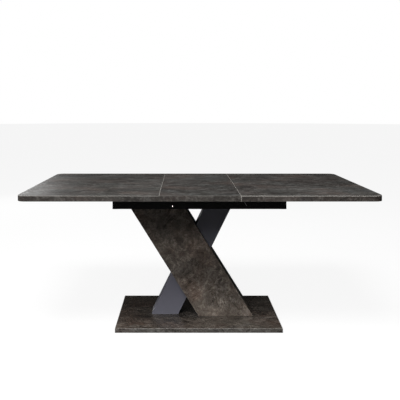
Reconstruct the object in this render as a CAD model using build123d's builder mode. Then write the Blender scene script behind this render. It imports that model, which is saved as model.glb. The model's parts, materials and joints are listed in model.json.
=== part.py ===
"""Extendable pedestal dining table: two sliding half tops, a lift-out leaf, an X-shaped pedestal.

The frame sits at the middle of the footprint on the floor. +X runs along the table, +Y runs away
from its front and +Z points up. The table is drawn extended, with the leaf in place. Millimetres.
"""
import os
from math import acos, ceil, cos, pi, radians, sin, sqrt, tan

from build123d import *

os.makedirs("parts", exist_ok=True)

# ---------------------------------------------------------------- driving dimensions
# Table top
table_height = 754.0
table_depth = 900.0
half_length = 700.0  # one half top, from its seam to its outer end
leaf_length = 400.0
top_thickness = 28.0
corner_radius = 42.0
edge_ease = 1.2  # rounding of the long edges of the boards
band_thickness = 2.0  # edge banding
seam_gap = 0.4

# Floor plate and glides
base_length = 882.0
base_depth = 500.0
base_thickness = 22.0
glide_height = 3.0
glide_radius = 14.0
glide_inset = 40.0

# Leaning leg (upper end at the left, lower end at the right), a box of four boards
leg_depth = 150.0
leg_cut = 303.0  # length of its level-cut ends
leg_foot_inset = 136.0  # lower end to the right end of the floor plate
leg_head_inset = 35.0  # upper end to the left end of the frame
leg_wall = 18.0

# Brace that crosses behind the leg's face, in two parts that butt against the leg
brace_depth = 100.0
brace_cut = 148.0
brace_foot_gap = 112.0  # between the two lower ends
brace_head_clearance = 32.0  # from the pinion bracket to its upper end
brace_wall = 16.0
board_ease = 0.8
block_height = 60.0

# Frame under the top
front_overhang = 97.5
frame_height = 55.0  # from its lower edge to the underside of the top
rail_thickness = 18.0
rail_recess = 2.0  # the long rails stand back from the ends of the cross rails
end_rail_thickness = 28.0
carcass_thickness = 18.0
top_clearance = 1.0  # between the frame and the sliding tops
stop_allowance = 12.0  # room beyond the runners at each end of the frame
relief_depth = 10.0  # shallow cut in the upper edge of a long rail
relief_end_inset = 110.0
relief_seam_inset = 5.0

# Runners and their channels
flange_width = 24.0
flange_thickness = 6.0
web_width = 10.0
side_clearance = 0.3
channel_wall = 2.0
channel_gap = 4.0  # from the top of a channel to the flange above it
liner_thickness = 1.0
lane_clearance = 1.5
lane_spacing = 2.0
buffer_thickness = 5.0
buffer_height = 16.0
buffer_gap = 0.5

# Rack and pinion that moves both halves together
gear_module = 2.5
pinion_teeth = 20
pressure_angle = radians(20.0)
flank_backlash = 0.08
rack_height = 10.0
rack_back = 12.0  # from the roots of the teeth to the back of the bar
rack_drop = 10.0  # from the underside of the top to the rack
rack_mount_length = 105.0
rack_mount_clearance = 5.0  # from the bracket to the mounted part of the rack, table closed
rack_nose_teeth = 3  # teeth beyond the pinion with the table extended
spacer_lip = 6.0  # spacer beyond the back of the rack
axle_radius = 6.0
axle_clearance = 0.06
axle_head_radius = 9.0
axle_head_height = 3.5
hub_radius = 12.0
bracket_thickness = 3.0
bracket_half_length = 30.0
bracket_screw_inset = 10.0
bracket_screw_offset = 30.0  # from the middle of the table
rack_guide_gap = 0.3
gear_clearance = 0.5  # above and below the pinion

# Leaf locks
lock_inset = 50.0  # from the table's edge
lock_thickness = 3.0
lock_drop = 8.0  # from the underside of the top to the lever
lock_width = 18.0
lock_pivot_offset = 14.0  # from the seam into the half top
lock_stud_offset = 14.0  # from the seam into the leaf
lock_stud_radius = 3.0
lock_slot_clearance = 0.3
lock_pivot_radius = 2.5
lock_pivot_head_radius = 5.0
lock_pivot_clearance = 0.06
lock_nose = 8.0  # lever beyond the stud
lock_stud_reach = 3.0  # stud below the lever
lock_face_gap = 0.3  # above and below the lever at its pivot
lock_tab_run = 10.5
lock_tab_drop = 17.0
lock_tab_thickness = 2.5

# Screws
wood_screw_radius = 1.75
wood_screw_head_radius = 3.2
wood_screw_head_height = 2.2
wood_screw_depth = 14.0
wood_screws_per_runner = 4
screw_end_inset = 15.0
bolt_radius = 3.0
bolt_head_radius = 6.0
bolt_head_height = 3.0
bolt_depth = 36.0
rail_screw_radius = 2.5
rail_screw_length = 40.0
rail_screw_head_radius = 5.0
rail_screw_head_height = 1.5
rail_screw_ease = 0.5
rail_screw_end_inset = 82.0
rail_screw_middle = 124.0
channel_screw_end_inset = 124.0
bright_screw_x = -136.0
bright_screw_rise = 13.0  # above the lower edge of the frame

# ---------------------------------------------------------------- derived places
travel = leaf_length / 2
seam = travel + seam_gap / 2
top_half_span = travel + half_length
underside = table_height - top_thickness
plate_top = glide_height + base_thickness
frame_bottom = underside - frame_height
frame_top = underside - top_clearance
carcass_top = frame_bottom + carcass_thickness
frame_half = leaf_length + stop_allowance + end_rail_thickness
frame_inner = frame_half - end_rail_thickness
frame_depth = table_depth - 2 * front_overhang
rail_outer_face = frame_depth / 2 - rail_recess
rail_inner_face = rail_outer_face - rail_thickness

outer_lane = rail_inner_face - lane_clearance - flange_width / 2
inner_lane = outer_lane - flange_width - lane_spacing
flange_bottom = underside - flange_thickness
channel_top = flange_bottom - channel_gap
liner_bottom = carcass_top + channel_wall
web_bottom = liner_bottom + liner_thickness
channel_width = web_width + 2 * (side_clearance + channel_wall)
runner_end = frame_inner - buffer_thickness - channel_wall / 2 - buffer_gap

pitch_radius = gear_module * pinion_teeth / 2
tooth_pitch = pi * gear_module
addendum = gear_module
dedendum = 1.25 * gear_module
rack_top = underside - rack_drop
rack_bottom = rack_top - rack_height
rack_back_face = pitch_radius + dedendum + rack_back
rack_tail = travel + bracket_half_length + rack_mount_clearance + rack_mount_length

lock_y = table_depth / 2 - lock_inset
lock_top = underside - lock_drop
lock_pivot_x = seam + lock_pivot_offset
lock_stud_x = travel - seam_gap / 2 - lock_stud_offset
lock_reach = lock_pivot_x - lock_stud_x


# ---------------------------------------------------------------- helpers
def save(part, name):
    """Label a finished piece and write its STEP file."""
    part.label = name
    export_step(part, f"parts/{name}.step")


def level(z, outward=1):
    """Level plane at height z. Its x axis points outward: +X for the right half, -X for the left."""
    return Plane(origin=(0, 0, z), x_dir=(outward, 0, 0), z_dir=(0, 0, 1))


def bar(plane, x_ends, y_ends, height, mode=Mode.ADD):
    """Square bar standing on a plane, between two x places and two y places."""
    with BuildSketch(plane) as outline:
        with Locations((sum(x_ends) / 2, sum(y_ends) / 2)):
            Rectangle(x_ends[1] - x_ends[0], y_ends[1] - y_ends[0])
    extrude(outline.sketch, amount=height, mode=mode)


def pegs(plane, places, radius, height, mode=Mode.ADD):
    """Round pegs, or holes, standing on a plane."""
    with BuildSketch(plane) as outline:
        with Locations(*places):
            Circle(radius)
    extrude(outline.sketch, amount=height, mode=mode)


def slab(corners, y_ends, mode=Mode.ADD):
    """Slab with an outline given in x and z, reaching from one y place to another."""
    with BuildSketch(Plane.XZ.offset(-y_ends[1])) as outline:
        with BuildLine():
            Polyline(*corners, close=True)
        make_face()
    extrude(outline.sketch, amount=y_ends[1] - y_ends[0], mode=mode)


# A slanting edge is (x at the plate's top, slope of x over z).
def slanting(x_low, x_high):
    """Slanting edge from the top of the floor plate to the underside of the frame."""
    return (x_low, (x_high - x_low) / (frame_bottom - plate_top))


def edge_x(edge, z):
    """Place of a slanting edge at height z."""
    return edge[0] + edge[1] * (z - plate_top)


def at_level(edge, z):
    """Point of a slanting edge at height z."""
    return (edge_x(edge, z), z)


def crossing(edge, other):
    """Point where two slanting edges cross."""
    rise = (other[0] - edge[0]) / (edge[1] - other[1])
    return at_level(edge, plate_top + rise)


def shifted(edge, thickness):
    """Slanting edge moved sideways by a board's thickness, measured square to the board."""
    return (edge[0] + thickness * sqrt(1 + edge[1] ** 2), edge[1])


def ease_slanting_edges(faces, slope):
    """Break the long slanting edges of a board's outer face."""
    chamfer(faces.edges().filter_by(Axis((0, 0, 0), (slope, 0, 1))), board_ease)


# ---------------------------------------------------------------- half tops
def board_blank(plane, x_ends, depth, rounded_radius):
    """Board with eased long edges; its outer corners are rounded when a radius is given."""
    with BuildSketch(plane) as outline:
        with Locations((sum(x_ends) / 2, 0)):
            Rectangle(x_ends[1] - x_ends[0], depth)
        if rounded_radius:
            fillet(outline.vertices().group_by(Axis.X)[-1], rounded_radius)
    extrude(outline.sketch, amount=top_thickness)


def runner_screw_places(lane):
    """Screw places along the outer part of a runner, in the flange on each side of the web."""
    first = seam + screw_end_inset
    step = (runner_end - screw_end_inset - first) / (wood_screws_per_runner - 1)
    offset = (web_width + flange_width) / 4
    return [
        (first + step * count, lane + offset * (-1) ** count)
        for count in range(wood_screws_per_runner)
    ]


def rack_screw_places():
    """Screw places in the spacer over a rack."""
    middle = -(pitch_radius + dedendum + rack_back / 2)
    insets = (screw_end_inset, rack_mount_length / 2, rack_mount_length - screw_end_inset)
    return [(rack_tail - inset, middle) for inset in insets]


lanes = (outer_lane, -inner_lane)
top_screw_places = [place for lane in lanes for place in runner_screw_places(lane)]
lock_places = [(lock_pivot_x, lock_y), (lock_pivot_x, -lock_y)]

for side, outward in (("left", -1), ("right", 1)):
    top_plane = level(underside, outward)

    with BuildPart() as top_panel:
        board_blank(top_plane, (seam, top_half_span), table_depth, corner_radius)
        fillet(top_panel.faces().sort_by(Axis.Z)[-1].edges(), edge_ease)
        fillet(top_panel.faces().sort_by(Axis.Z)[0].edges(), edge_ease)
        with BuildSketch(top_plane) as core:
            with Locations(((seam + top_half_span - band_thickness) / 2, 0)):
                Rectangle(top_half_span - band_thickness - seam, table_depth - 2 * band_thickness)
            fillet(core.vertices().group_by(Axis.X)[-1], corner_radius - band_thickness)
        extrude(core.sketch, amount=top_thickness, mode=Mode.INTERSECT)
        pegs(top_plane, top_screw_places + rack_screw_places(), wood_screw_radius,
             wood_screw_depth, mode=Mode.SUBTRACT)
        if side == "right":
            pegs(top_plane, lock_places, lock_pivot_radius, wood_screw_depth, mode=Mode.SUBTRACT)
    save(top_panel.part, f"{side}_top_panel")

    with BuildPart() as edge_band:
        board_blank(top_plane, (seam, top_half_span), table_depth, corner_radius)
        fillet(edge_band.faces().sort_by(Axis.Z)[-1].edges(), edge_ease)
        fillet(edge_band.faces().sort_by(Axis.Z)[0].edges(), edge_ease)
        with BuildSketch(top_plane) as core:
            with Locations(((seam - band_thickness + top_half_span - band_thickness) / 2, 0)):
                Rectangle(top_half_span - seam, table_depth - 2 * band_thickness)
            fillet(core.vertices().group_by(Axis.X)[-1], corner_radius - band_thickness)
        extrude(core.sketch, amount=top_thickness, mode=Mode.SUBTRACT)
    save(edge_band.part, f"{side}_edge_band")

    # Runners: a flange screwed under the half top and a web that slides in a channel. They reach
    # inward as far as the far seam, so that they carry the leaf.
    for lane, place in zip(lanes, ("outer", "inner")):
        with BuildPart() as runner:
            bar(level(flange_bottom, outward), (-travel, runner_end),
                (lane - flange_width / 2, lane + flange_width / 2), flange_thickness)
            bar(level(web_bottom, outward), (-travel, runner_end),
                (lane - web_width / 2, lane + web_width / 2), flange_bottom - web_bottom)
            pegs(level(flange_bottom, outward), runner_screw_places(lane), wood_screw_radius,
                 flange_thickness, mode=Mode.SUBTRACT)
        save(runner.part, f"{side}_{place}_runner")

    # Rack: teeth face the pinion. Its outer end hangs from a spacer under the half top.
    with BuildPart() as rack:
        gap_count = ceil(travel / tooth_pitch) + rack_nose_teeth
        half_tip = tooth_pitch / 4 - flank_backlash - addendum * tan(pressure_angle)
        half_root = tooth_pitch / 4 - flank_backlash + dedendum * tan(pressure_angle)
        tip_y = -(pitch_radius - addendum)
        root_y = -(pitch_radius + dedendum)
        rack_nose = -rack_nose_teeth * tooth_pitch
        with BuildSketch(level(rack_bottom, outward)) as rack_outline:
            with BuildLine():
                corners = [(rack_tail, -rack_back_face), (rack_nose, -rack_back_face), (rack_nose, root_y)]
                for tooth in range(-rack_nose_teeth, gap_count):
                    middle = (tooth + 0.5) * tooth_pitch
                    corners += [(middle - half_root, root_y), (middle - half_tip, tip_y)]
                    corners += [(middle + half_tip, tip_y), (middle + half_root, root_y)]
                corners += [(rack_tail, root_y)]
                Polyline(*corners, close=True)
            make_face()
        extrude(rack_outline.sketch, amount=rack_height)
        pegs(level(rack_bottom, outward), rack_screw_places(), wood_screw_radius, rack_height,
             mode=Mode.SUBTRACT)
    save(rack.part, f"{side}_rack")

    with BuildPart() as rack_spacer:
        bar(level(rack_top, outward), (rack_tail - rack_mount_length, rack_tail),
            (-rack_back_face - spacer_lip, -pitch_radius), rack_drop)
        pegs(level(rack_top, outward), rack_screw_places(), wood_screw_radius, rack_drop,
             mode=Mode.SUBTRACT)
    save(rack_spacer.part, f"{side}_rack_spacer")

    with BuildPart() as screws:
        pegs(level(flange_bottom, outward), top_screw_places, wood_screw_radius,
             flange_thickness + wood_screw_depth)
        pegs(level(flange_bottom - wood_screw_head_height, outward), top_screw_places,
             wood_screw_head_radius, wood_screw_head_height)
        pegs(level(rack_bottom, outward), rack_screw_places(), wood_screw_radius,
             rack_height + rack_drop + wood_screw_depth)
        pegs(level(rack_bottom - wood_screw_head_height, outward), rack_screw_places(),
             wood_screw_head_radius, wood_screw_head_height)
    save(screws.part, f"{side}_screws")

# ---------------------------------------------------------------- leaf
leaf_ends = (-travel + seam_gap / 2, travel - seam_gap / 2)
core_edge = table_depth / 2 - band_thickness
stud_places = [(lock_stud_x, lock_y), (lock_stud_x, -lock_y)]

with BuildPart() as leaf_panel:
    board_blank(level(underside), leaf_ends, table_depth, 0)
    fillet(leaf_panel.faces().sort_by(Axis.Z)[-1].edges(), edge_ease)
    fillet(leaf_panel.faces().sort_by(Axis.Z)[0].edges(), edge_ease)
    bar(level(underside), leaf_ends, (-core_edge, core_edge), top_thickness, mode=Mode.INTERSECT)
    pegs(level(underside), stud_places, lock_stud_radius, wood_screw_depth, mode=Mode.SUBTRACT)
save(leaf_panel.part, "leaf_panel")

for place, y_ends in (("front", (-table_depth / 2, -core_edge)), ("rear", (core_edge, table_depth / 2))):
    with BuildPart() as leaf_band:
        board_blank(level(underside), leaf_ends, table_depth, 0)
        fillet(leaf_band.faces().sort_by(Axis.Z)[-1].edges(), edge_ease)
        fillet(leaf_band.faces().sort_by(Axis.Z)[0].edges(), edge_ease)
        bar(level(underside), leaf_ends, y_ends, top_thickness, mode=Mode.INTERSECT)
    save(leaf_band.part, f"leaf_{place}_band")

with BuildPart() as leaf_lock_studs:
    stud_foot = lock_top - lock_thickness - lock_stud_reach
    pegs(level(stud_foot), stud_places, lock_stud_radius, underside - stud_foot + wood_screw_depth)
save(leaf_lock_studs.part, "leaf_lock_studs")

# ---------------------------------------------------------------- leaf locks
# Each lever turns about an upright screw under the right half and hooks round a stud of the leaf.
# Its slot is an arc about the screw, open towards the middle of the table.
for place, mirrored in (("front", 1), ("rear", -1)):
    lever_plane = Plane(
        origin=(lock_pivot_x, -lock_y * mirrored, lock_top - lock_thickness),
        x_dir=(1, 0, 0),
        z_dir=(0, 0, 1),
    )
    slot_half = lock_stud_radius + lock_slot_clearance
    with BuildPart() as lock_lever:
        bar(lever_plane, (-lock_reach - lock_nose, lock_width / 2),
            (-lock_width / 2, lock_width / 2), lock_thickness)
        with BuildSketch(lever_plane) as slot:
            Circle(lock_reach + slot_half)
            Circle(lock_reach - slot_half, mode=Mode.SUBTRACT)
            with Locations((-lock_reach, mirrored * lock_width / 2)):
                Rectangle(2 * lock_reach, lock_width, mode=Mode.INTERSECT)
            with Locations((-lock_reach, 0)):
                Circle(slot_half)
        extrude(slot.sketch, amount=lock_thickness, mode=Mode.SUBTRACT)
        tab_start = lock_pivot_x + lock_width / 2
        tab_top = lock_top - lock_thickness
        slab(
            [
                (tab_start - lock_tab_thickness, tab_top),
                (tab_start, tab_top),
                (tab_start + lock_tab_run, tab_top - lock_tab_drop),
                (tab_start + lock_tab_run - lock_tab_thickness, tab_top - lock_tab_drop),
            ],
            (-lock_y * mirrored - lock_width / 2, -lock_y * mirrored + lock_width / 2),
        )
        pegs(lever_plane, [(0, 0)], lock_pivot_radius + lock_pivot_clearance, lock_thickness,
             mode=Mode.SUBTRACT)
    save(lock_lever.part, f"{place}_lock_lever")

with BuildPart() as lock_pivots:
    pivot_foot = lock_top - lock_thickness - lock_face_gap - wood_screw_head_height
    pegs(level(pivot_foot), lock_places, lock_pivot_radius,
         underside - pivot_foot + wood_screw_depth)
    pegs(level(pivot_foot), lock_places, lock_pivot_head_radius, wood_screw_head_height)
    pegs(level(lock_top + lock_face_gap), lock_places, lock_pivot_head_radius,
         underside - lock_top - lock_face_gap)
save(lock_pivots.part, "lock_pivots")

# ---------------------------------------------------------------- pinion
def pinion_outline():
    """Corners of an involute gear with a tooth pointing along +Y and one along -Y."""
    base_radius = pitch_radius * cos(pressure_angle)
    tip_radius = pitch_radius + addendum
    root_radius = pitch_radius - dedendum
    roll = tan(pressure_angle) - pressure_angle
    half_tooth = pi / (2 * pinion_teeth) - flank_backlash / pitch_radius
    flank = []
    steps = 5
    for step in range(steps + 1):
        radius = base_radius + (tip_radius - base_radius) * step / steps
        angle = acos(min(1.0, base_radius / radius))
        flank.append((radius, half_tooth + roll - (tan(angle) - angle)))
    profile = [(root_radius, flank[0][1])] + flank
    corners = []
    for tooth in range(pinion_teeth):
        middle = pi / 2 + 2 * pi * tooth / pinion_teeth
        corners += [(r * cos(middle - a), r * sin(middle - a)) for r, a in profile]
        corners += [(r * cos(middle + a), r * sin(middle + a)) for r, a in reversed(profile)]
    return corners


bracket_screw_x = bracket_half_length - bracket_screw_inset
bracket_screw_places = [
    (x, y)
    for x in (-bracket_screw_x, bracket_screw_x)
    for y in (-bracket_screw_offset, bracket_screw_offset)
]
bracket_top = carcass_top + bracket_thickness

with BuildPart() as pinion:
    with BuildSketch(level(rack_bottom + gear_clearance)) as gear:
        with BuildLine():
            Polyline(*pinion_outline(), close=True)
        make_face()
    extrude(gear.sketch, amount=rack_height - 2 * gear_clearance)
    hub_bottom = bracket_top + gear_clearance
    pegs(level(hub_bottom), [(0, 0)], hub_radius, rack_bottom + gear_clearance - hub_bottom)
    pegs(level(hub_bottom), [(0, 0)], axle_radius + axle_clearance, frame_height, mode=Mode.SUBTRACT)
save(pinion.part, "pinion")

with BuildPart() as pinion_axle:
    pegs(level(bracket_top), [(0, 0)], axle_radius, rack_top - bracket_top)
    pegs(level(rack_top), [(0, 0)], axle_head_radius, axle_head_height)
save(pinion_axle.part, "pinion_axle")

with BuildPart() as pinion_bracket:
    guide_face = rack_back_face + rack_guide_gap
    guide_outer = guide_face + bracket_thickness
    bracket_ends = (-bracket_half_length, bracket_half_length)
    bar(level(carcass_top), bracket_ends, (-guide_outer, guide_outer), bracket_thickness)
    bar(level(bracket_top), bracket_ends, (guide_face, guide_outer), rack_top - bracket_top)
    bar(level(bracket_top), bracket_ends, (-guide_outer, -guide_face), rack_top - bracket_top)
    pegs(level(carcass_top), bracket_screw_places, wood_screw_radius, bracket_thickness,
         mode=Mode.SUBTRACT)
save(pinion_bracket.part, "pinion_bracket")

# ---------------------------------------------------------------- frame
relief_ends = (-frame_half + relief_end_inset, travel - relief_seam_inset)
carcass_middle = frame_bottom + carcass_thickness / 2
bright_screw_level = frame_bottom + bright_screw_rise
rail_screw_end = frame_inner - rail_screw_end_inset
rail_screw_xs = (-rail_screw_end, rail_screw_middle, rail_screw_end)
channel_screw_end = frame_inner - channel_screw_end_inset
channel_screw_xs = (-channel_screw_end, 0.0, channel_screw_end)
channel_lanes = (-outer_lane, -inner_lane, inner_lane, outer_lane)
channel_screw_places = [(x, lane) for x in channel_screw_xs for lane in channel_lanes]
carcass_screw_places = channel_screw_places + bracket_screw_places


def rail_face(outward):
    """Outer face of a long rail: x runs along the rail, y runs up and the plane looks outward."""
    return Plane(
        origin=(0, -outward * rail_outer_face, 0), x_dir=(outward, 0, 0), z_dir=(0, -outward, 0)
    )


def rail_places(outward):
    """Places on a long rail's outer face where screws enter the carcass board."""
    places = [(x, carcass_middle) for x in rail_screw_xs]
    return places + [(outward * bright_screw_x, bright_screw_level)]


for place, outward in (("front", 1), ("rear", -1)):
    with BuildPart() as long_rail:
        bar(level(frame_bottom, outward), (-frame_inner, frame_inner),
            (-rail_outer_face, -rail_inner_face), frame_top - frame_bottom)
        bar(level(frame_top - relief_depth, outward), relief_ends,
            (-rail_outer_face, -rail_inner_face), relief_depth, mode=Mode.SUBTRACT)
        pegs(rail_face(outward), rail_places(outward), rail_screw_radius, -rail_thickness,
             mode=Mode.SUBTRACT)
    save(long_rail.part, f"{place}_rail")

for side, outward in (("left", -1), ("right", 1)):
    with BuildPart() as end_rail:
        bar(level(frame_bottom, outward), (frame_inner, frame_half),
            (-frame_depth / 2, frame_depth / 2), frame_top - frame_bottom)
    save(end_rail.part, f"{side}_end_rail")

with BuildPart() as rail_screws:
    black_places = {1: [(x, carcass_middle) for x in rail_screw_xs], -1: rail_places(-1)}
    for outward, places in black_places.items():
        pegs(rail_face(outward), places, rail_screw_radius, -rail_screw_length)
        pegs(rail_face(outward), places, rail_screw_head_radius, rail_screw_head_height)
save(rail_screws.part, "rail_screws")

with BuildPart() as bright_rail_screw:
    bright_place = [(bright_screw_x, bright_screw_level)]
    pegs(rail_face(1), bright_place, rail_screw_radius, -rail_screw_length)
    pegs(rail_face(1), bright_place, rail_screw_head_radius, rail_screw_head_height)
    chamfer(bright_rail_screw.faces().sort_by(Axis.Y)[0].edges(), rail_screw_ease)
save(bright_rail_screw.part, "bright_rail_screw")

# ---------------------------------------------------------------- channels for the runners
lane_names = ("front_outer", "front_inner", "rear_inner", "rear_outer")
for lane_name, lane in zip(lane_names, channel_lanes):
    with BuildPart() as channel:
        bar(level(carcass_top), (-frame_inner, frame_inner),
            (lane - channel_width / 2, lane + channel_width / 2), channel_top - carcass_top)
        bar(level(liner_bottom), (-frame_inner, frame_inner),
            (lane - channel_width / 2 + channel_wall, lane + channel_width / 2 - channel_wall),
            channel_top - liner_bottom, mode=Mode.SUBTRACT)
        pegs(level(carcass_top), [(x, lane) for x in channel_screw_xs], wood_screw_radius,
             channel_wall, mode=Mode.SUBTRACT)
    save(channel.part, f"{lane_name}_channel")

with BuildPart() as channel_liners:
    for lane in channel_lanes:
        bar(level(liner_bottom), (-frame_inner, frame_inner),
            (lane - web_width / 2, lane + web_width / 2), liner_thickness)
save(channel_liners.part, "channel_liners")

with BuildPart() as stop_buffers:
    for lane in channel_lanes:
        for end in (-1, 1):
            buffer_ends = sorted((end * frame_inner, end * (frame_inner - buffer_thickness)))
            bar(level(web_bottom), buffer_ends, (lane - web_width / 2, lane + web_width / 2),
                buffer_height)
save(stop_buffers.part, "stop_buffers")

# ---------------------------------------------------------------- pedestal edges
base_half = base_length / 2
leg_foot_right = base_half - leg_foot_inset
leg_foot_left = leg_foot_right - leg_cut
leg_head_left = -frame_half + leg_head_inset
leg_head_right = leg_head_left + leg_cut
brace_foot_right = leg_foot_left - brace_foot_gap
brace_foot_left = brace_foot_right - brace_cut
brace_head_left = bracket_half_length + brace_head_clearance
brace_head_right = brace_head_left + brace_cut

leg_left = slanting(leg_foot_left, leg_head_left)
leg_right = slanting(leg_foot_right, leg_head_right)
brace_left = slanting(brace_foot_left, brace_head_left)
brace_right = slanting(brace_foot_right, brace_head_right)


def end_point(edge, cut):
    """End of a slanting edge at a level cut (a height) or at a butt joint (another edge)."""
    return crossing(edge, cut) if isinstance(cut, tuple) else at_level(edge, cut)


def outline_between(left_edge, right_edge, low, high):
    """Four corners between two slanting edges and two cuts."""
    return [
        end_point(left_edge, low),
        end_point(right_edge, low),
        end_point(right_edge, high),
        end_point(left_edge, high),
    ]


def box_beam(name, edges, cuts, depth, wall):
    """Four boards of a slanting box beam: front and rear panels with two side boards between."""
    left_edge, right_edge = edges
    face_corners = outline_between(left_edge, right_edge, *cuts)
    panels = (
        ("front", (-depth / 2, -depth / 2 + wall), 0),
        ("rear", (depth / 2 - wall, depth / 2), -1),
    )
    for place, y_ends, outer in panels:
        with BuildPart() as panel:
            slab(face_corners, y_ends)
            ease_slanting_edges(panel.faces().sort_by(Axis.Y)[outer], left_edge[1])
        save(panel.part, f"{name}_{place}_panel")
    sides = (
        ("left", left_edge, shifted(left_edge, wall)),
        ("right", shifted(right_edge, -wall), right_edge),
    )
    for place, low_edge, high_edge in sides:
        with BuildPart() as side_board:
            slab(outline_between(low_edge, high_edge, *cuts), (-depth / 2 + wall, depth / 2 - wall))
        save(side_board.part, f"{name}_{place}_board")


def bolt_places(edges, depth, wall, z):
    """Four upright bolts spread over a block, centred where the block is at height z."""
    middle = (edge_x(edges[0], z) + edge_x(edges[1], z)) / 2
    spread_x = (edge_x(edges[1], z) - edge_x(edges[0], z)) / 4 - wall / 2
    spread_y = (depth / 2 - wall) * 0.6
    return [(middle + x, y) for x in (-spread_x, spread_x) for y in (-spread_y, spread_y)]


def end_block(name, edges, cuts, depth, wall, bolts, drill_level, drill_depth):
    """Solid block inside the end of a box beam, drilled for its bolts."""
    inner_edges = (shifted(edges[0], wall), shifted(edges[1], -wall))
    with BuildPart() as block:
        slab(outline_between(*inner_edges, *cuts), (-depth / 2 + wall, depth / 2 - wall))
        pegs(level(drill_level), bolts, bolt_radius, drill_depth, mode=Mode.SUBTRACT)
    save(block.part, name)


leg_edges = (leg_left, leg_right)
brace_edges = (brace_left, brace_right)
box_beam("leg", leg_edges, (plate_top, frame_bottom), leg_depth, leg_wall)
box_beam("lower_brace", brace_edges, (plate_top, leg_left), brace_depth, brace_wall)
box_beam("upper_brace", brace_edges, (leg_right, frame_bottom), brace_depth, brace_wall)

head_level = frame_bottom - bolt_depth / 2
foot_level = plate_top + bolt_depth / 2
foot_cuts = (plate_top, plate_top + block_height)
head_cuts = (frame_bottom - block_height, frame_bottom)
foot_bolts = []
head_bolts = []
for name, edges, depth, wall in (
    ("leg", leg_edges, leg_depth, leg_wall),
    ("brace", brace_edges, brace_depth, brace_wall),
):
    foot_places = bolt_places(edges, depth, wall, foot_level)
    head_places = bolt_places(edges, depth, wall, head_level)
    foot_bolts += foot_places
    head_bolts += head_places
    end_block(f"{name}_foot_block", edges, foot_cuts, depth, wall, foot_places, plate_top,
              bolt_depth)
    end_block(f"{name}_head_block", edges, head_cuts, depth, wall, head_places,
              frame_bottom - bolt_depth, bolt_depth)

# ---------------------------------------------------------------- carcass board and its fixings
with BuildPart() as carcass_board:
    bar(level(frame_bottom), (-frame_inner, frame_inner), (-rail_inner_face, rail_inner_face),
        carcass_thickness)
    pegs(level(frame_bottom), head_bolts, bolt_radius, carcass_thickness, mode=Mode.SUBTRACT)
    pegs(level(frame_bottom), carcass_screw_places, wood_screw_radius, carcass_thickness,
         mode=Mode.SUBTRACT)
    for outward in (1, -1):
        pegs(rail_face(outward), rail_places(outward), rail_screw_radius, -rail_screw_length,
             mode=Mode.SUBTRACT)
save(carcass_board.part, "carcass_board")

with BuildPart() as carcass_screws:
    pegs(level(frame_bottom), channel_screw_places, wood_screw_radius,
         carcass_thickness + channel_wall)
    pegs(level(frame_bottom), bracket_screw_places, wood_screw_radius,
         carcass_thickness + bracket_thickness)
    pegs(level(frame_bottom - wood_screw_head_height), carcass_screw_places,
         wood_screw_head_radius, wood_screw_head_height)
save(carcass_screws.part, "carcass_screws")

with BuildPart() as head_bolt_set:
    pegs(level(frame_bottom - bolt_depth), head_bolts, bolt_radius, bolt_depth + carcass_thickness)
    pegs(level(carcass_top), head_bolts, bolt_head_radius, bolt_head_height)
save(head_bolt_set.part, "head_bolts")

# ---------------------------------------------------------------- floor plate
inset = 2 * band_thickness
with BuildPart() as base_plate:
    with BuildSketch(level(glide_height)):
        Rectangle(base_length - inset, base_depth - inset)
    extrude(amount=base_thickness)
    pegs(level(glide_height), foot_bolts, bolt_radius, base_thickness, mode=Mode.SUBTRACT)
    pegs(level(glide_height), foot_bolts, bolt_head_radius, bolt_head_height, mode=Mode.SUBTRACT)
save(base_plate.part, "base_plate")

with BuildPart() as base_edge_band:
    with BuildSketch(level(glide_height)):
        Rectangle(base_length, base_depth)
    extrude(amount=base_thickness)
    chamfer(base_edge_band.edges().group_by(Axis.Z)[-1], board_ease)
    with BuildSketch(level(glide_height)) as core:
        Rectangle(base_length - inset, base_depth - inset)
    extrude(core.sketch, amount=base_thickness, mode=Mode.SUBTRACT)
save(base_edge_band.part, "base_edge_band")

with BuildPart() as foot_bolt_set:
    pegs(level(glide_height), foot_bolts, bolt_radius, base_thickness + bolt_depth)
    pegs(level(glide_height), foot_bolts, bolt_head_radius, bolt_head_height)
save(foot_bolt_set.part, "foot_bolts")

with BuildPart() as base_glides:
    glide_columns = (-base_half + glide_inset, 0, base_half - glide_inset)
    glide_rows = (-base_depth / 2 + glide_inset, base_depth / 2 - glide_inset)
    pegs(level(0), [(x, y) for x in glide_columns for y in glide_rows], glide_radius, glide_height)
save(base_glides.part, "base_glides")
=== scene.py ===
import json
import math
from typing import NamedTuple

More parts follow.
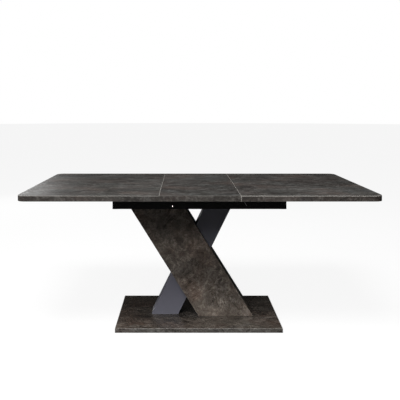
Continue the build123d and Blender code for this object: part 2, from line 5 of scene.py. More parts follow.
import bmesh
import bpy
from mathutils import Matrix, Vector

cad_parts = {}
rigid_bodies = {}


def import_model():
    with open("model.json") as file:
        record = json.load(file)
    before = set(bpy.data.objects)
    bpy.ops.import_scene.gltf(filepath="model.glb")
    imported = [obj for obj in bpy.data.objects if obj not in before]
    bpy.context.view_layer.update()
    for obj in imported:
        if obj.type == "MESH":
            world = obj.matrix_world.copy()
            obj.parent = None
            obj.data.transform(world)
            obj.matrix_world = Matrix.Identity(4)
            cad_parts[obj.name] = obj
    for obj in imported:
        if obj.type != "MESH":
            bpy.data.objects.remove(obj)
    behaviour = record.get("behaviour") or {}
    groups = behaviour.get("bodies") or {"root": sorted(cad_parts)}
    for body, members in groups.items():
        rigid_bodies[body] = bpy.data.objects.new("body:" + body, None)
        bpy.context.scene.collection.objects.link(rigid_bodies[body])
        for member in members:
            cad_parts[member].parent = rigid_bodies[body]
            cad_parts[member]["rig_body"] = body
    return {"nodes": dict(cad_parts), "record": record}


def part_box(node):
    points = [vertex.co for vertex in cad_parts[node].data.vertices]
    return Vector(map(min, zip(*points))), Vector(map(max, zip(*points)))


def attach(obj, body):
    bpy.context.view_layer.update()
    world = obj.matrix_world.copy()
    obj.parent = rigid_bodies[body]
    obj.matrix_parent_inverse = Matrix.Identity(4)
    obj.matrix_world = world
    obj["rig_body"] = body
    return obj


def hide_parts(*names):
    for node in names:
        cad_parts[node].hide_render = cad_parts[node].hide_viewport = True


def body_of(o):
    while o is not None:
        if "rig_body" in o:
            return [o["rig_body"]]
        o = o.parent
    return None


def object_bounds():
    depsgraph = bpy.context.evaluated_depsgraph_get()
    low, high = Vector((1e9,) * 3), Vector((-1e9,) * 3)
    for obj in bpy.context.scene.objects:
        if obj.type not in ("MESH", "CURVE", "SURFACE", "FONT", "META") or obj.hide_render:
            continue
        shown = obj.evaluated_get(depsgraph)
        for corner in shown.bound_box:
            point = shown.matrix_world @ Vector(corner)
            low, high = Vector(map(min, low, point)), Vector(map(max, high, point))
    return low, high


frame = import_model()
cad_low, cad_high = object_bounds()
nodes = frame["nodes"]
x_axis, y_axis, z_axis = range(3)


# ------------------------------------------------------------------ material helpers
noise_middle = 0.5
noise_low = 0.3  # most of a noise's values lie between these two
noise_high = 0.7
mix_colour_sockets = (0, 6, 7)  # factor, first and second colour of a mix node
mix_colour_result = 2

# Cosines of the angle from a board's axis to a surface's normal: where an eased edge starts at the
# board's narrow side, and where it ends at the broad face.
eased_start = (0.10, 0.22)
eased_end = (0.90, 0.98)


def tinted(colour, tone):
    """Colour multiplied by a tone, channel by channel."""
    return tuple(c * t for c, t in zip(colour, tone))


def dimmed(colour, share):
    """Colour with every channel multiplied by a share, and held at one."""
    return tuple(min(1, c * share) for c in colour)


def set_stops(elements, stops):
    """Fill a colour ramp, which starts with two stops, from (place, colour) pairs."""
    while len(elements) < len(stops):
        elements.new(1.0)
    for element, (place, colour) in zip(elements, stops):
        element.position = place
        element.color = (*colour, 1.0)


def set_range(node, low, high, out_low, out_high):
    """Set the two ranges of a map range node."""
    values = {"From Min": low, "From Max": high, "To Min": out_low, "To Max": out_high}
    for key, value in values.items():
        node.inputs[key].default_value = value


class Shader:
    """A node material with short calls for the nodes that the finishes share."""

    def __init__(self, name):
        self.material = bpy.data.materials.new(name)
        self.material.use_nodes = True
        self.tree = self.material.node_tree
        self.bsdf = self.tree.nodes["Principled BSDF"]

    def add(self, kind, **settings):
        node = self.tree.nodes.new(kind)
        for key, value in settings.items():
            setattr(node, key, value)
        return node

    def link(self, source, target):
        self.tree.links.new(source, target)

    def feed(self, socket, value):
        """Set a socket to a number or a colour, or link another node's output to it."""
        if isinstance(value, (int, float)):
            socket.default_value = value
        elif isinstance(value, tuple):
            socket.default_value = (*value, 1.0)
        else:
            self.link(value, socket)

    def place(self, shift=(0, 0, 0), stretch=(1, 1, 1)):
        """Object coordinates in metres, moved and stretched."""
        coordinates = self.add("ShaderNodeTexCoord")
        mapping = self.add("ShaderNodeMapping")
        mapping.inputs["Location"].default_value = shift
        mapping.inputs["Scale"].default_value = stretch
        self.link(coordinates.outputs["Object"], mapping.inputs["Vector"])
        return mapping.outputs["Vector"]

    def noise_node(self, vector, scale, detail, rough, distortion=0.0):
        """Noise with about as many features to the metre as its scale says."""
        node = self.add("ShaderNodeTexNoise")
        node.inputs["Scale"].default_value = scale
        node.inputs["Detail"].default_value = detail
        node.inputs["Roughness"].default_value = rough
        node.inputs["Distortion"].default_value = distortion
        self.link(vector, node.inputs["Vector"])
        return node

    def noise(self, vector, scale, detail, rough, distortion=0.0):
        """The grey value of a noise."""
        return self.noise_node(vector, scale, detail, rough, distortion).outputs["Fac"]

    def warp(self, vector, scale, amount):
        """Coordinates pushed about by a soft noise, so that patches lose their regular look."""
        push = self.noise_node(vector, scale, 2.0, 0.55)
        centred = self.add("ShaderNodeVectorMath", operation="SUBTRACT")
        centred.inputs[1].default_value = (noise_middle, noise_middle, noise_middle)
        self.link(push.outputs["Color"], centred.inputs[0])
        scaled = self.add("ShaderNodeVectorMath", operation="SCALE")
        scaled.inputs["Scale"].default_value = amount
        self.link(centred.outputs["Vector"], scaled.inputs[0])
        moved = self.add("ShaderNodeVectorMath", operation="ADD")
        self.link(vector, moved.inputs[0])
        self.link(scaled.outputs["Vector"], moved.inputs[1])
        return moved.outputs["Vector"]

    def math(self, operation, first, second=None):
        node = self.add("ShaderNodeMath", operation=operation)
        self.feed(node.inputs[0], first)
        if second is not None:
            self.feed(node.inputs[1], second)
        return node.outputs["Value"]

    def times(self, first, second):
        return self.math("MULTIPLY", first, second)

    def blended(self, *shares):
        """The sum of (value, share) pairs."""
        total = None
        for value, share in shares:
            part = self.times(value, share)
            total = part if total is None else self.math("ADD", total, part)
        return total

    def line_in(self, value, thin, wide):
        """One along the lines where a noise passes its middle, and none away from them.

        Thin and wide say how far from the middle a line is full, and where it has faded out.
        """
        away = self.math("ABSOLUTE", self.math("SUBTRACT", value, noise_middle))
        return self.span(away, thin, wide, 1.0, 0.0)

    def ramp(self, factor, stops):
        """Colour ramp from (place, colour) stops."""
        node = self.add("ShaderNodeValToRGB")
        set_stops(node.color_ramp.elements, stops)
        self.link(factor, node.inputs["Fac"])
        return node.outputs["Color"]

    def span(self, factor, low, high, out_low, out_high):
        """A value mapped from one range to another and held inside it."""
        node = self.add("ShaderNodeMapRange", clamp=True)
        set_range(node, low, high, out_low, out_high)
        self.link(factor, node.inputs["Value"])
        return node.outputs["Result"]

    def mix(self, factor, first, second, blend="MIX"):
        """The first colour, with the second mixed in as far as the factor says."""
        node = self.add("ShaderNodeMix", data_type="RGBA", blend_type=blend)
        for index, value in zip(mix_colour_sockets, (factor, first, second)):
            self.feed(node.inputs[index], value)
        return node.outputs[mix_colour_result]

    def mottled(self, factor, colour, dark, light, low=noise_low, high=noise_high):
        """A colour that has one share of its light where a noise is low, and another where it is high."""
        return self.ramp(factor, [(low, dimmed(colour, dark)), (high, dimmed(colour, light))])

    def uneven(self, factor, at_low, at_high):
        """A value that follows a noise from its low parts to its high ones."""
        return self.span(factor, noise_low, noise_high, at_low, at_high)

    def eased_edge(self, axis):
        """One on surfaces oblique to an object axis, as an eased edge is, and none elsewhere."""
        coordinates = self.add("ShaderNodeTexCoord")
        split = self.add("ShaderNodeSeparateXYZ")
        self.link(coordinates.outputs["Normal"], split.inputs["Vector"])
        along = self.math("ABSOLUTE", split.outputs[axis])
        rising = self.span(along, *eased_start, 0.0, 1.0)
        falling = self.span(along, *eased_end, 1.0, 0.0)
        return self.times(rising, falling)

    def within(self, axis, low, high):
        """One where an object coordinate lies between two values in metres."""
        split = self.add("ShaderNodeSeparateXYZ")
        self.link(self.place(), split.inputs["Vector"])
        above = self.math("GREATER_THAN", split.outputs[axis], low)
        below = self.math("LESS_THAN", split.outputs[axis], high)
        return self.times(above, below)

    def bump(self, height, distance, strength):
        """Relief that is a distance deep, in metres."""
        node = self.add("ShaderNodeBump")
        node.inputs["Strength"].default_value = strength
        node.inputs["Distance"].default_value = distance
        self.link(height, node.inputs["Height"])
        self.link(node.outputs["Normal"], self.bsdf.inputs["Normal"])

    def finish(self, colour, roughness, **constants):
        """Join colour and roughness to the shader, and set its constants."""
        self.feed(self.bsdf.inputs["Base Color"], colour)
        self.feed(self.bsdf.inputs["Roughness"], roughness)
        for socket, value in constants.items():
            self.bsdf.inputs[socket.replace("_", " ")].default_value = value
        return self.material


# ------------------------------------------------------------------ finishes
# A noise is called with its scale, detail and roughness, and with its distortion if it has any.

# Shades of the stone decor from its deepest to its palest parts, and tints from cool to rusty.
stone_shades = (
    (0.385, (0.0125, 0.0100, 0.0085)),
    (0.435, (0.0330, 0.0270, 0.0230)),
    (0.475, (0.0540, 0.0450, 0.0385)),
    (0.515, (0.0700, 0.0600, 0.0520)),
    (0.560, (0.1020, 0.0890, 0.0780)),
    (0.620, (0.1700, 0.1540, 0.1380)),
)
stone_tints = (
    (0.36, (0.90, 0.97, 1.02)),
    (0.45, (0.96, 1.00, 0.97)),
    (0.52, (1.00, 0.99, 0.98)),
    (0.60, (1.07, 0.97, 0.92)),
    (0.68, (1.12, 0.94, 0.86)),
)
stone_tint_share = 0.6
stone_crust = (0.175, 0.158, 0.140)
stone_crack = (0.010, 0.0085, 0.0075)
stone_pit = (0.014, 0.012, 0.011)
# Pale core of the laminate, also the colour of the painted highlights on eased edges, seams and rims.
pale_core_and_highlight = (0.30, 0.285, 0.265)
pine_rings = (
    (0.35, (0.36, 0.20, 0.09)),
    (0.5, (0.52, 0.34, 0.17)),
    (0.66, (0.60, 0.42, 0.24)),
)


def stone_laminate(name, shift, edge_axis, tone, edge_wear_and_highlight, polish=0.0, run=1.0, core_and_highlight_strips=()):
    """Dark oxidised-stone decor: clouded brown-grey patches, pale crusts and veins, dark cracks, pits.

    Eased edges, where the surface turns away from edge_axis, show the laminate's paler core and a painted
    highlight.
    Polish takes the roughness down and makes reflections stronger. A run under one draws the decor out
    along X, deepens its tints and widens its cracks.
    """
    s = Shader(name)
    still = s.place(shift, (run, 1, 1))
    vector = s.warp(s.warp(still, 3.5, 0.22), 16.0, 0.045)
    clouds = s.noise(vector, 3.2, 4.0, 0.55)
    patches = s.noise(vector, 13.0, 9.0, 0.73, 0.4)
    crusts = s.noise(s.warp(still, 21.0, 0.05), 34.0, 7.0, 0.70, 0.9)
    grain = s.noise(vector, 130.0, 4.0, 0.6)
    depth = s.blended((clouds, 0.16), (patches, 0.32), (crusts, 0.34), (grain, 0.18))
    colour = s.ramp(depth, [(place, tinted(shade, tone)) for place, shade in stone_shades])

    tint = s.ramp(s.noise(s.warp(still, 5.0, 0.15), 6.5, 5.0, 0.62), stone_tints)
    colour = s.mix(min(1.0, stone_tint_share / run), colour, tint, "MULTIPLY")

    # Pale crusts gather in rings round the patches, and cracks where the clouds are dark.
    ring_line = s.line_in(s.noise(vector, 9.5, 7.0, 0.64, 1.1), 0.004, 0.030)
    ring_mask = s.span(crusts, 0.44, 0.58, 0.0, 0.60)
    colour = s.mix(s.times(ring_line, ring_mask), colour, tinted(stone_crust, tone))
    crack_line = s.line_in(s.noise(vector, 17.0, 8.0, 0.72, 0.7), 0.003, 0.018 / run)
    crack_mask = s.span(clouds, 0.64, 0.46, 0.10, 0.85)
    colour = s.mix(s.times(crack_line, crack_mask), colour, stone_crack)
    pits = s.noise(still, 260.0, 3.0, 0.5)
    colour = s.mix(s.span(pits, 0.60, 0.72, 0.0, 0.55), colour, stone_pit)

    # Painted highlight, partly wear: the eased edges lightened towards the pale core.
    colour = s.mix(s.times(s.eased_edge(edge_axis), edge_wear_and_highlight), colour, pale_core_and_highlight)
    # Painted highlight lines at the seams and along the rims.
    for strip in core_and_highlight_strips:
        strip_mask = s.within(strip.axis, strip.low, strip.high)
        colour = s.mix(s.times(strip_mask, strip.share), colour, pale_core_and_highlight)

    texture = s.blended((grain, 0.5), (crusts, 0.5))
    roughness = s.span(texture, 0.38, 0.62, 0.60 - polish, 0.44 - polish)
    s.bump(texture, 0.0004, 0.35)
    return s.finish(colour, roughness, Specular_IOR_Level=0.22 + polish)


def plain_board(name, colour, rough, fleck, specular=0.3):
    """Plain laminate with a faint pearl structure."""
    s = Shader(name)
    vector = s.place()
    fine = s.noise(vector, 420.0, 3.0, 0.6)
    soft = s.noise(vector, 5.0, 4.0, 0.5)
    mixed = s.blended((fine, 0.6), (soft, 0.4))
    body = s.mottled(mixed, colour, 1 - fleck, 1 + fleck, low=0.35, high=0.65)
    roughness = s.uneven(fine, rough + 0.06, rough - 0.05)
    s.bump(fine, 0.0002, 0.25)
    return s.finish(body, roughness, Specular_IOR_Level=specular)


def powder_coat(name, colour, rough=0.5):
    """Painted steel with the fine orange-peel of powder coating."""
    s = Shader(name)
    vector = s.place()
    peel = s.noise(vector, 900.0, 2.0, 0.5)
    wear = s.noise(vector, 30.0, 5.0, 0.6)
    body = s.mottled(wear, colour, 0.85, 1.15)
    roughness = s.uneven(wear, rough - 0.06, rough + 0.06)
    s.bump(peel, 0.00015, 0.3)
    return s.finish(body, roughness, Specular_IOR_Level=0.5)


def metal(name, colour, rough, direction=(1, 1, 1)):
    """Bare or plated steel with fine drawn lines."""
    s = Shader(name)
    vector = s.place((0, 0, 0), direction)
    lines = s.noise(vector, 260.0, 4.0, 0.6)
    cloud = s.noise(vector, 25.0, 3.0, 0.5)
    body = s.mottled(cloud, colour, 0.86, 1.08)
    roughness = s.uneven(lines, rough - 0.07, rough + 0.09)
    s.bump(lines, 0.0001, 0.2)
    return s.finish(body, roughness, Metallic=1.0)


def softwood(name):
    """Planed pine with growth rings along X."""
    s = Shader(name)
    vector = s.warp(s.place((0, 0, 0), (1.0, 12.0, 12.0)), 2.0, 0.25)
    rings = s.noise(vector, 5.0, 5.0, 0.6, 0.8)
    pores = s.noise(vector, 60.0, 3.0, 0.5)
    s.bump(pores, 0.0003, 0.3)
    return s.finish(s.ramp(rings, pine_rings), s.uneven(pores, 0.6, 0.5))


def moulded(name, colour, rough=0.5):
    """Moulded plastic or rubber with a fine spark-eroded surface."""
    s = Shader(name)
    fine = s.noise(s.place(), 700.0, 3.0, 0.5)
    body = s.mottled(fine, colour, 0.9, 1.1)
    s.bump(fine, 0.0002, 0.3)
    return s.finish(body, s.uneven(fine, rough - 0.05, rough + 0.05))


# ------------------------------------------------------------------ finishes on the CAD nodes
class Cut(NamedTuple):
    """How the boards of one run were cut from the decor and finished; the tones also paint in light."""

    shift: tuple  # where in the decor, in metres
    axis: str  # the axis that the broad faces look along
    face_tone: tuple  # what the decor's shades are multiplied by on the faces
    edging_tone: tuple  # and on the edging
    wear: float  # how far the eased edges are lightened to the pale core, partly wear and partly painted highlight
    polish: float = 0.0
    run: float = 1.0


class Strip(NamedTuple):
    """A strip of a board painted in the pale core colour as a highlight line."""

    axis: int
    low: float
    high: float
    share: float  # how far it shows


# Painted light: the runs are copies of one decor, toned to come out as light as they looked. The legs'
# copy is about three times lighter than the tops', and the base's face and most of all its edging are
# lighter too.
stone_cuts = {
    "left": Cut((0.37, 0.11, 0.0), "Z", (0.58, 0.63, 0.68), (0.64, 0.66, 0.69), wear=0.45, run=0.6),
    "right": Cut((2.41, 1.73, 0.3), "Z", (0.63, 0.68, 0.74), (0.70, 0.70, 0.73), wear=0.95, run=0.6),
    "leaf": Cut((4.15, 0.62, 0.6), "Z", (0.60, 0.66, 0.72), (0.64, 0.66, 0.69), wear=0.12, run=0.55),
    "leg": Cut((1.30, 3.20, 0.9), "Y", (2.25, 2.17, 2.11), (1.0, 1.0, 1.0), wear=0.45),
    "base": Cut(
        (5.85, 2.45, 1.2), "Z", (0.90, 0.86, 0.84), (1.25, 1.32, 1.40),
        wear=0.45, polish=0.26, run=0.5),
}

# Painted highlight lines in the pale core colour: where the edging ends at the right seam, along the
# upper rim of the halves' edging (strongest on the right half), and on the left panel's rim at the left
# seam.
right_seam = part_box("right_edge_band")[0].x
left_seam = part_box("left_top_panel")[1].x
top_level = cad_high.z
edging_end = 0.0022
edging_rim = 0.0030
panel_rim = 0.0016
core_and_highlight_strips = {
    ("laminate_edging", "right"): (
        Strip(x_axis, right_seam, right_seam + edging_end, share=1.0),
        Strip(z_axis, top_level - edging_rim, top_level, share=0.42),
    ),
    ("laminate_edging", "left"): (Strip(z_axis, top_level - edging_rim, top_level, share=0.16),),
    ("stone_laminate", "left"): (Strip(x_axis, left_seam - panel_rim, left_seam, share=0.85),),
}

finishes = {
    "grey_board": plain_board("graphite_laminate", (0.158, 0.157, 0.190), 0.42, 0.10),
    "black_board": plain_board("black_laminate", (0.0155, 0.0145, 0.0145), 0.55, 0.18, specular=0.2),
    "softwood": softwood("planed_pine"),
    "runner_steel": powder_coat("grey_powder_coat", (0.085, 0.085, 0.086)),
    "channel_steel": powder_coat("black_powder_coat", (0.018, 0.018, 0.019)),
    "nylon": moulded("natural_nylon", (0.62, 0.60, 0.54), 0.42),
    "rubber": moulded("buffer_rubber", (0.015, 0.015, 0.015), 0.75),
    "glide_plastic": moulded("glide_plastic", (0.020, 0.020, 0.021), 0.55),
    "bright_steel": metal("zinc_plate", (0.66, 0.66, 0.67), 0.28),
    "rack_steel": metal("drawn_steel", (0.42, 0.42, 0.43), 0.36, (0.05, 1, 1)),
    "polished": metal("polished_zinc", (0.95, 0.95, 0.95), 0.15),
    # Near-black steel painted on the locks in place of the shade under the top.
    "painted_shade_black": powder_coat("painted_shade_black_steel", (0.010, 0.010, 0.011)),
    "black_screws": moulded("black_oxide", (0.008, 0.008, 0.0085), 0.90),
}
slot_of = {entry["node"]: entry["material_slot"] for entry in frame["record"]["subparts"]}


def cut_of(node):
    """Which entry of stone_cuts a stone-effect node belongs to."""
    for word in stone_cuts:
        if node.startswith(word):
            return word
    raise ValueError(node)


for word, cut in stone_cuts.items():
    face = ("stone_laminate", word)
    edging = ("laminate_edging", word)
    finishes[face] = stone_laminate(
        f"stone_{word}", cut.shift, cut.axis, cut.face_tone, cut.wear, cut.polish, cut.run,
        core_and_highlight_strips=core_and_highlight_strips.get(face, ()))
    finishes[edging] = stone_laminate(
        f"edging_{word}", cut.shift, cut.axis, cut.edging_tone, cut.wear,
        core_and_highlight_strips=core_and_highlight_strips.get(edging, ()))

for node, piece in nodes.items():
    slot = slot_of[node]
    key = (slot, cut_of(node)) if slot in ("stone_laminate", "laminate_edging") else slot
    piece.data.materials.clear()
    piece.data.materials.append(finishes[key])


# ------------------------------------------------------------------ fasteners and glides in full
sides = 24
thread_sides = 12
thread_foot = 0.34  # half of a ridge's width at its foot, in pitches
thread_sunk = 0.97  # radius of a ridge's foot, as a share of the core's
thread_clearance = 1.6  # from the head to the first turn, in pitches
neck_start = 1.0  # where the shank starts to narrow to the core, in pitches from the head
neck_end = 1.5
sharp_angle = math.radians(32)
tiny = 1e-6  # a length in metres, or a sine, that counts as nothing
lever_thickness = 0.003
lever_margin = 1e-4

# Profiles are pairs of shares: of the height below the face, and of the widest radius.
screw_head = ((0.0, 0.66), (0.10, 0.84), (0.30, 0.95), (0.55, 1.0), (1.0, 1.0))
glide_profile = (
    (0.14, 0.10),
    (0.18, 0.20),
    (0.30, 0.23),
    (0.34, 0.26),
    (0.34, 0.74),
    (0.10, 0.80),
    (0.0, 0.85),
    (0.0, 0.92),
    (0.12, 0.975),
    (0.35, 1.0),
    (1.0, 1.0),
)
recess_depth = 0.85


def solids_of(node):
    """The points of each separate solid in a CAD node."""
    piece = nodes[node]
    work = bmesh.new()
    work.from_mesh(piece.data)
    bmesh.ops.remove_doubles(work, verts=work.verts, dist=tiny)
    seen = set()
    solids = []
    for start in work.verts:
        if start in seen:
            continue
        seen.add(start)
        waiting = [start]
        points = []
        while waiting:
            vertex = waiting.pop()
            points.append(piece.matrix_world @ vertex.co)
            for edge in vertex.link_edges:
                other = edge.other_vert(vertex)
                if other not in seen:
                    seen.add(other)
                    waiting.append(other)
        solids.append(points)
    work.free()
    return solids


class Turned:
    """The axis, length and radii of one round CAD solid, from its wide end to its narrow end."""

    def __init__(self, points, axis):
        low = [min(point[i] for point in points) for i in range(3)]
        high = [max(point[i] for point in points) for i in range(3)]
        self.axis = axis
        self.middle = Vector([(a + b) / 2 for a, b in zip(low, high)])
        radii = [(self.radius(point), point[axis]) for point in points]
        self.head = max(radius for radius, _ in radii)
        self.shank = min(radius for radius, _ in radii)
        # The head is all that lies outside the middle of the two radii; a plain disc is all head.
        split = (self.head + self.shank) / 2 - tiny
        wide = [place for radius, place in radii if radius > split]
        self.head_height = max(wide) - min(wide)
        self.length = high[axis] - low[axis]
        at_high = high[axis] - max(wide) < min(wide) - low[axis]
        self.top = high[axis] if at_high else low[axis]
        self.down = -1 if at_high else 1

    def radius(self, point):
        across = [point[i] - self.middle[i] for i in range(3) if i != self.axis]
        return math.hypot(*across)

    def point(self, depth, radius, angle):
        """A place at a depth below the head's face, at a radius and angle about the axis."""
        first, second = (i for i in range(3) if i != self.axis)
        place = self.middle.copy()
        place[self.axis] = self.top + self.down * depth
        place[first] += radius * math.cos(angle)
        place[second] += radius * math.sin(angle)
        return place


def circle(radius):
    """Distance to a circle, which is the same at every angle."""
    return lambda angle: radius


def hexagon(radius):
    """Distance to a hexagon's side, for a radius to its flats."""
    sixth = math.pi / 3
    return lambda angle: radius / math.cos((angle + sixth / 2) % sixth - sixth / 2)


def cross(reach, half_width):
    """Distance to the outline of a cross with four arms."""
    quarter = math.pi / 2

    def outline(angle):
        turned = abs((angle + quarter / 2) % quarter - quarter / 2)
        return min(reach / math.cos(turned), half_width / max(math.sin(turned), tiny))

    return outline


def add_rings(work, solid, rings):
    """Closed skin through rings given as (depth, outline), with a cap at each end."""
    loops = []
    for depth, outline in rings:
        angles = [2 * math.pi * k / sides for k in range(sides)]
        loops.append([work.verts.new(solid.point(depth, outline(a), a)) for a in angles])
    for upper, lower in zip(loops, loops[1:]):
        for k in range(sides):
            after = (k + 1) % sides
            work.faces.new((upper[k], upper[after], lower[after], lower[k]))
    work.faces.new(loops[0])
    work.faces.new(loops[-1])


def add_thread(work, solid, start, end, pitch, core, crest):
    """Helical ridge on a core, running out to nothing at both ends."""
    steps = int((end - start) / pitch * thread_sides)
    before = None
    for step in range(steps + 1):
        angle = 2 * math.pi * step / thread_sides
        depth = start + pitch * step / thread_sides
        fade = min(1.0, step / thread_sides, (steps - step) / thread_sides)
        height = core + (crest - core) * fade
        now = [
            work.verts.new(solid.point(depth - pitch * thread_foot, core * thread_sunk, angle)),
            work.verts.new(solid.point(depth, height, angle)),
            work.verts.new(solid.point(depth + pitch * thread_foot, core * thread_sunk, angle)),
        ]
        if before:
            work.faces.new((before[0], now[0], now[1], before[1]))
            work.faces.new((before[1], now[1], now[2], before[2]))
        before = now


def profile_rings(profile, tall, wide):
    """Round rings from a profile's shares of a height and of a radius."""
    return [(tall * depth, circle(wide * radius)) for depth, radius in profile]


class Screw(NamedTuple):
    """Outlines of the drive for a head's radius, and shares that shape what is below the head."""

    recess: object
    recess_floor: object
    core: float  # radius, as a share of the shank's
    pitch: float  # as a share of the shank's radius
    tip: float  # length, as a share of the shank's radius
    end: float  # radius, as a share of the core's


def add_screw(work, solid, screw):
    """Domed screw with its drive, a rounded rim, a core with a thread and a pointed or blunt end."""
    tall, shank = solid.head_height, solid.shank
    core = shank * screw.core
    pitch = shank * screw.pitch
    thread_end = solid.length - shank * screw.tip
    rings = [
        (tall * recess_depth, screw.recess_floor),
        (0.0, screw.recess),
        *profile_rings(screw_head, tall, solid.head),
        (tall, circle(shank)),
        (tall + pitch * neck_start, circle(shank)),
        (tall + pitch * neck_end, circle(core)),
        (thread_end, circle(core)),
        (solid.length, circle(core * screw.end)),
    ]
    add_rings(work, solid, rings)
    add_thread(work, solid, tall + pitch * thread_clearance, thread_end, pitch, core, shank)


def add_wood_screw(work, solid):
    """Cross-head screw with a coarse thread and a point."""
    recess = cross(solid.head * 0.58, solid.head * 0.15)
    recess_floor = cross(solid.head * 0.30, solid.head * 0.10)
    add_screw(work, solid, Screw(recess, recess_floor, core=0.76, pitch=0.80, tip=2.4, end=0.08))


def add_bolt(work, solid):
    """Hexagon-socket bolt with a fine thread and a blunt end."""
    recess = hexagon(solid.head * 0.42)
    recess_floor = hexagon(solid.head * 0.40)
    add_screw(work, solid, Screw(recess, recess_floor, core=0.86, pitch=0.42, tip=0.4, end=0.70))


def add_glide(work, solid):
    """Moulded glide: a rounded rim round a sunk face, with the head of its nail in the middle."""
    add_rings(work, solid, profile_rings(glide_profile, solid.length, solid.head))


def in_scene(name, data):
    """A new object in the scene."""
    piece = bpy.data.objects.new(name, data)
    bpy.context.scene.collection.objects.link(piece)
    return piece


def detailed(node, axis, build, finish=None):
    """One mesh that stands for all the round solids of a CAD node, riding on the node's body."""
    mesh = bpy.data.meshes.new(f"{node}_detailed")
    work = bmesh.new()
    for points in solids_of(node):
        build(work, Turned(points, axis))
    bmesh.ops.recalc_face_normals(work, faces=work.faces)
    work.to_mesh(mesh)
    work.free()
    mesh.shade_smooth()
    mesh.set_sharp_from_angle(angle=sharp_angle)
    mesh.materials.append(finishes[finish or slot_of[node]])
    piece = in_scene(f"{node}_detailed", mesh)
    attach(piece, body_of(nodes[node])[0])
    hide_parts(node)


detailed("rail_screws", y_axis, add_wood_screw)
detailed("bright_rail_screw", y_axis, add_wood_screw, "polished")
for node in ("carcass_screws", "left_screws", "right_screws"):
    detailed(node, z_axis, add_wood_screw)
for node in ("foot_bolts", "head_bolts"):
    detailed(node, z_axis, add_bolt)
detailed("base_glides", z_axis, add_glide)

# Painted shade: the locks, in shade under the top, get near-black steel; only the levers' bent tabs stay
# bright.
for node in ("leaf_lock_studs", "lock_pivots"):
    nodes[node].data.materials[0] = finishes["painted_shade_black"]
for node in ("front_lock_lever", "rear_lock_lever"):
    lever = nodes[node]
    lever.data.materials.append(finishes["painted_shade_black"])
    plate_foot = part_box(node)[1].z - lever_thickness
    for face in lever.data.polygons:
        height = (lever.matrix_world @ face.center).z
        face.material_index = int(height > plate_foot - lever_margin)


# ------------------------------------------------------------------ stage, light and camera
floor_radius = 40.0
floor_sides = 96
floor_shade = 0.10
floor_glow = 0.90
white = (1, 1, 1, 1)

# Brightness of the dome from straight down to straight up, and its strength to the front and rear.
dome_stops = ((0.0, 0.09), (0.48, 0.045), (0.56, 0.040), (0.64, 0.045), (0.80, 0.10), (1.0, 0.34))
front_dome = 1.4
rear_dome = 0.25

# The camera stands level, to the left of the object's middle, before its front and above the floor.
lens = 48.50
lens_shift = (0.0425, -0.2294)
camera_left = 0.0834
camera_before = 2.628
camera_height = 1.1815
under_top = (0, 0, 0.35)  # where the two large lights are aimed


def see_through_from_below(material):
    """Clear underside, so that the object can be looked at from under the floor."""
    tree = material.node_tree
    geometry = tree.nodes.new("ShaderNodeNewGeometry")
    clear = tree.nodes.new("ShaderNodeBsdfTransparent")
    choose = tree.nodes.new("ShaderNodeMixShader")
    tree.links.new(geometry.outputs["Backfacing"], choose.inputs["Fac"])
    tree.links.new(tree.nodes["Principled BSDF"].outputs["BSDF"], choose.inputs[1])
    tree.links.new(clear.outputs["BSDF"], choose.inputs[2])
    tree.links.new(choose.outputs["Shader"], tree.nodes["Material Output"].inputs["Surface"])


def stage_floor():
    """Pale floor that stays almost white and takes a faint soft shadow."""
    mesh = bpy.data.meshes.new("floor")
    work = bmesh.new()
    bmesh.ops.create_circle(work, cap_ends=True, segments=floor_sides, radius=floor_radius)
    work.to_mesh(mesh)
    work.free()
    floor = in_scene("floor", mesh)
    floor.location.z = cad_low.z
    material = bpy.data.materials.new("floor_white")
    material.use_nodes = True
    shader = material.node_tree.nodes["Principled BSDF"]
    shader.inputs["Base Color"].default_value = (floor_shade, floor_shade, floor_shade, 1)
    shader.inputs["Roughness"].default_value = 1.0
    shader.inputs["Specular IOR Level"].default_value = 0.0
    shader.inputs["Emission Color"].default_value = white
    shader.inputs["Emission Strength"].default_value = floor_glow
    mesh.materials.append(material)
    see_through_from_below(material)
    floor.visible_diffuse = False
    floor.visible_glossy = False


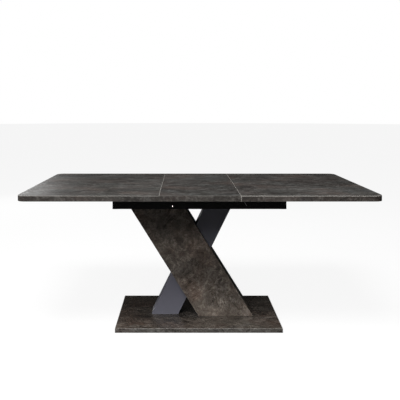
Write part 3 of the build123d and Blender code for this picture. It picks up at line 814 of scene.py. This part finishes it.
def studio_world():
    """White surround for the camera; for the object, a dome bright overhead and dim at the rear."""
    world = bpy.data.worlds.new("studio")
    bpy.context.scene.world = world
    world.use_nodes = True
    tree = world.node_tree
    tree.nodes.clear()
    output = tree.nodes.new("ShaderNodeOutputWorld")
    coordinates = tree.nodes.new("ShaderNodeTexCoord")
    split = tree.nodes.new("ShaderNodeSeparateXYZ")
    tree.links.new(coordinates.outputs["Generated"], split.inputs["Vector"])

    height = tree.nodes.new("ShaderNodeMapRange")
    set_range(height, -1.0, 1.0, 0.0, 1.0)
    tree.links.new(split.outputs["Z"], height.inputs["Value"])
    dome = tree.nodes.new("ShaderNodeValToRGB")
    set_stops(dome.color_ramp.elements, [(place, (grey, grey, grey)) for place, grey in dome_stops])
    tree.links.new(height.outputs["Result"], dome.inputs["Fac"])
    depth = tree.nodes.new("ShaderNodeMapRange")
    set_range(depth, -1.0, 1.0, front_dome, rear_dome)
    tree.links.new(split.outputs["Y"], depth.inputs["Value"])

    light = tree.nodes.new("ShaderNodeBackground")
    tree.links.new(dome.outputs["Color"], light.inputs["Color"])
    tree.links.new(depth.outputs["Result"], light.inputs["Strength"])
    backdrop = tree.nodes.new("ShaderNodeBackground")
    backdrop.inputs["Strength"].default_value = 1.0
    backdrop.inputs["Color"].default_value = white
    path = tree.nodes.new("ShaderNodeLightPath")
    choose = tree.nodes.new("ShaderNodeMixShader")
    tree.links.new(path.outputs["Is Camera Ray"], choose.inputs["Fac"])
    tree.links.new(light.outputs["Background"], choose.inputs[1])
    tree.links.new(backdrop.outputs["Background"], choose.inputs[2])
    tree.links.new(choose.outputs["Shader"], output.inputs["Surface"])


def softbox(name, place, aim, size, power):
    """Rectangular studio light aimed at a point."""
    data = bpy.data.lights.new(name, "AREA")
    data.shape = "RECTANGLE"
    data.size, data.size_y = size
    data.energy = power
    lamp = in_scene(name, data)
    lamp.location = place
    lamp.rotation_euler = (Vector(aim) - Vector(place)).to_track_quat("-Z", "Y").to_euler()
    lamp.visible_camera = False


def photo_camera():
    """Level camera with the shift of an upright product shot."""
    data = bpy.data.cameras.new("camera")
    data.sensor_width = 36.0
    data.lens = lens
    data.shift_x, data.shift_y = lens_shift
    camera = in_scene("camera", data)
    middle = (cad_low + cad_high) / 2
    camera.location = (
        middle.x - camera_left,
        cad_low.y - camera_before,
        cad_low.z + camera_height,
    )
    camera.rotation_euler = (math.pi / 2, 0, 0)
    bpy.context.scene.camera = camera


stage_floor()
studio_world()
# Two large lights above the front, one behind at the left for the sheen on the top, and a small one
# that glints on the bright screw.
softbox("high_light", (-0.60, -2.00, 3.76), under_top, size=(2.0, 1.3), power=250)
softbox("low_light", (-1.90, -3.05, 2.75), under_top, size=(2.0, 1.1), power=70)
softbox("sheen_light", (-2.55, 4.10, 1.55), (-0.9, -0.35, 0.75), size=(1.1, 0.5), power=28)
softbox("glint_light", (-0.19, -3.10, 0.19), (-0.136, -0.35, 0.684), size=(0.15, 0.15), power=1.3)
photo_camera()
bpy.context.scene.view_settings.view_transform = "Standard"
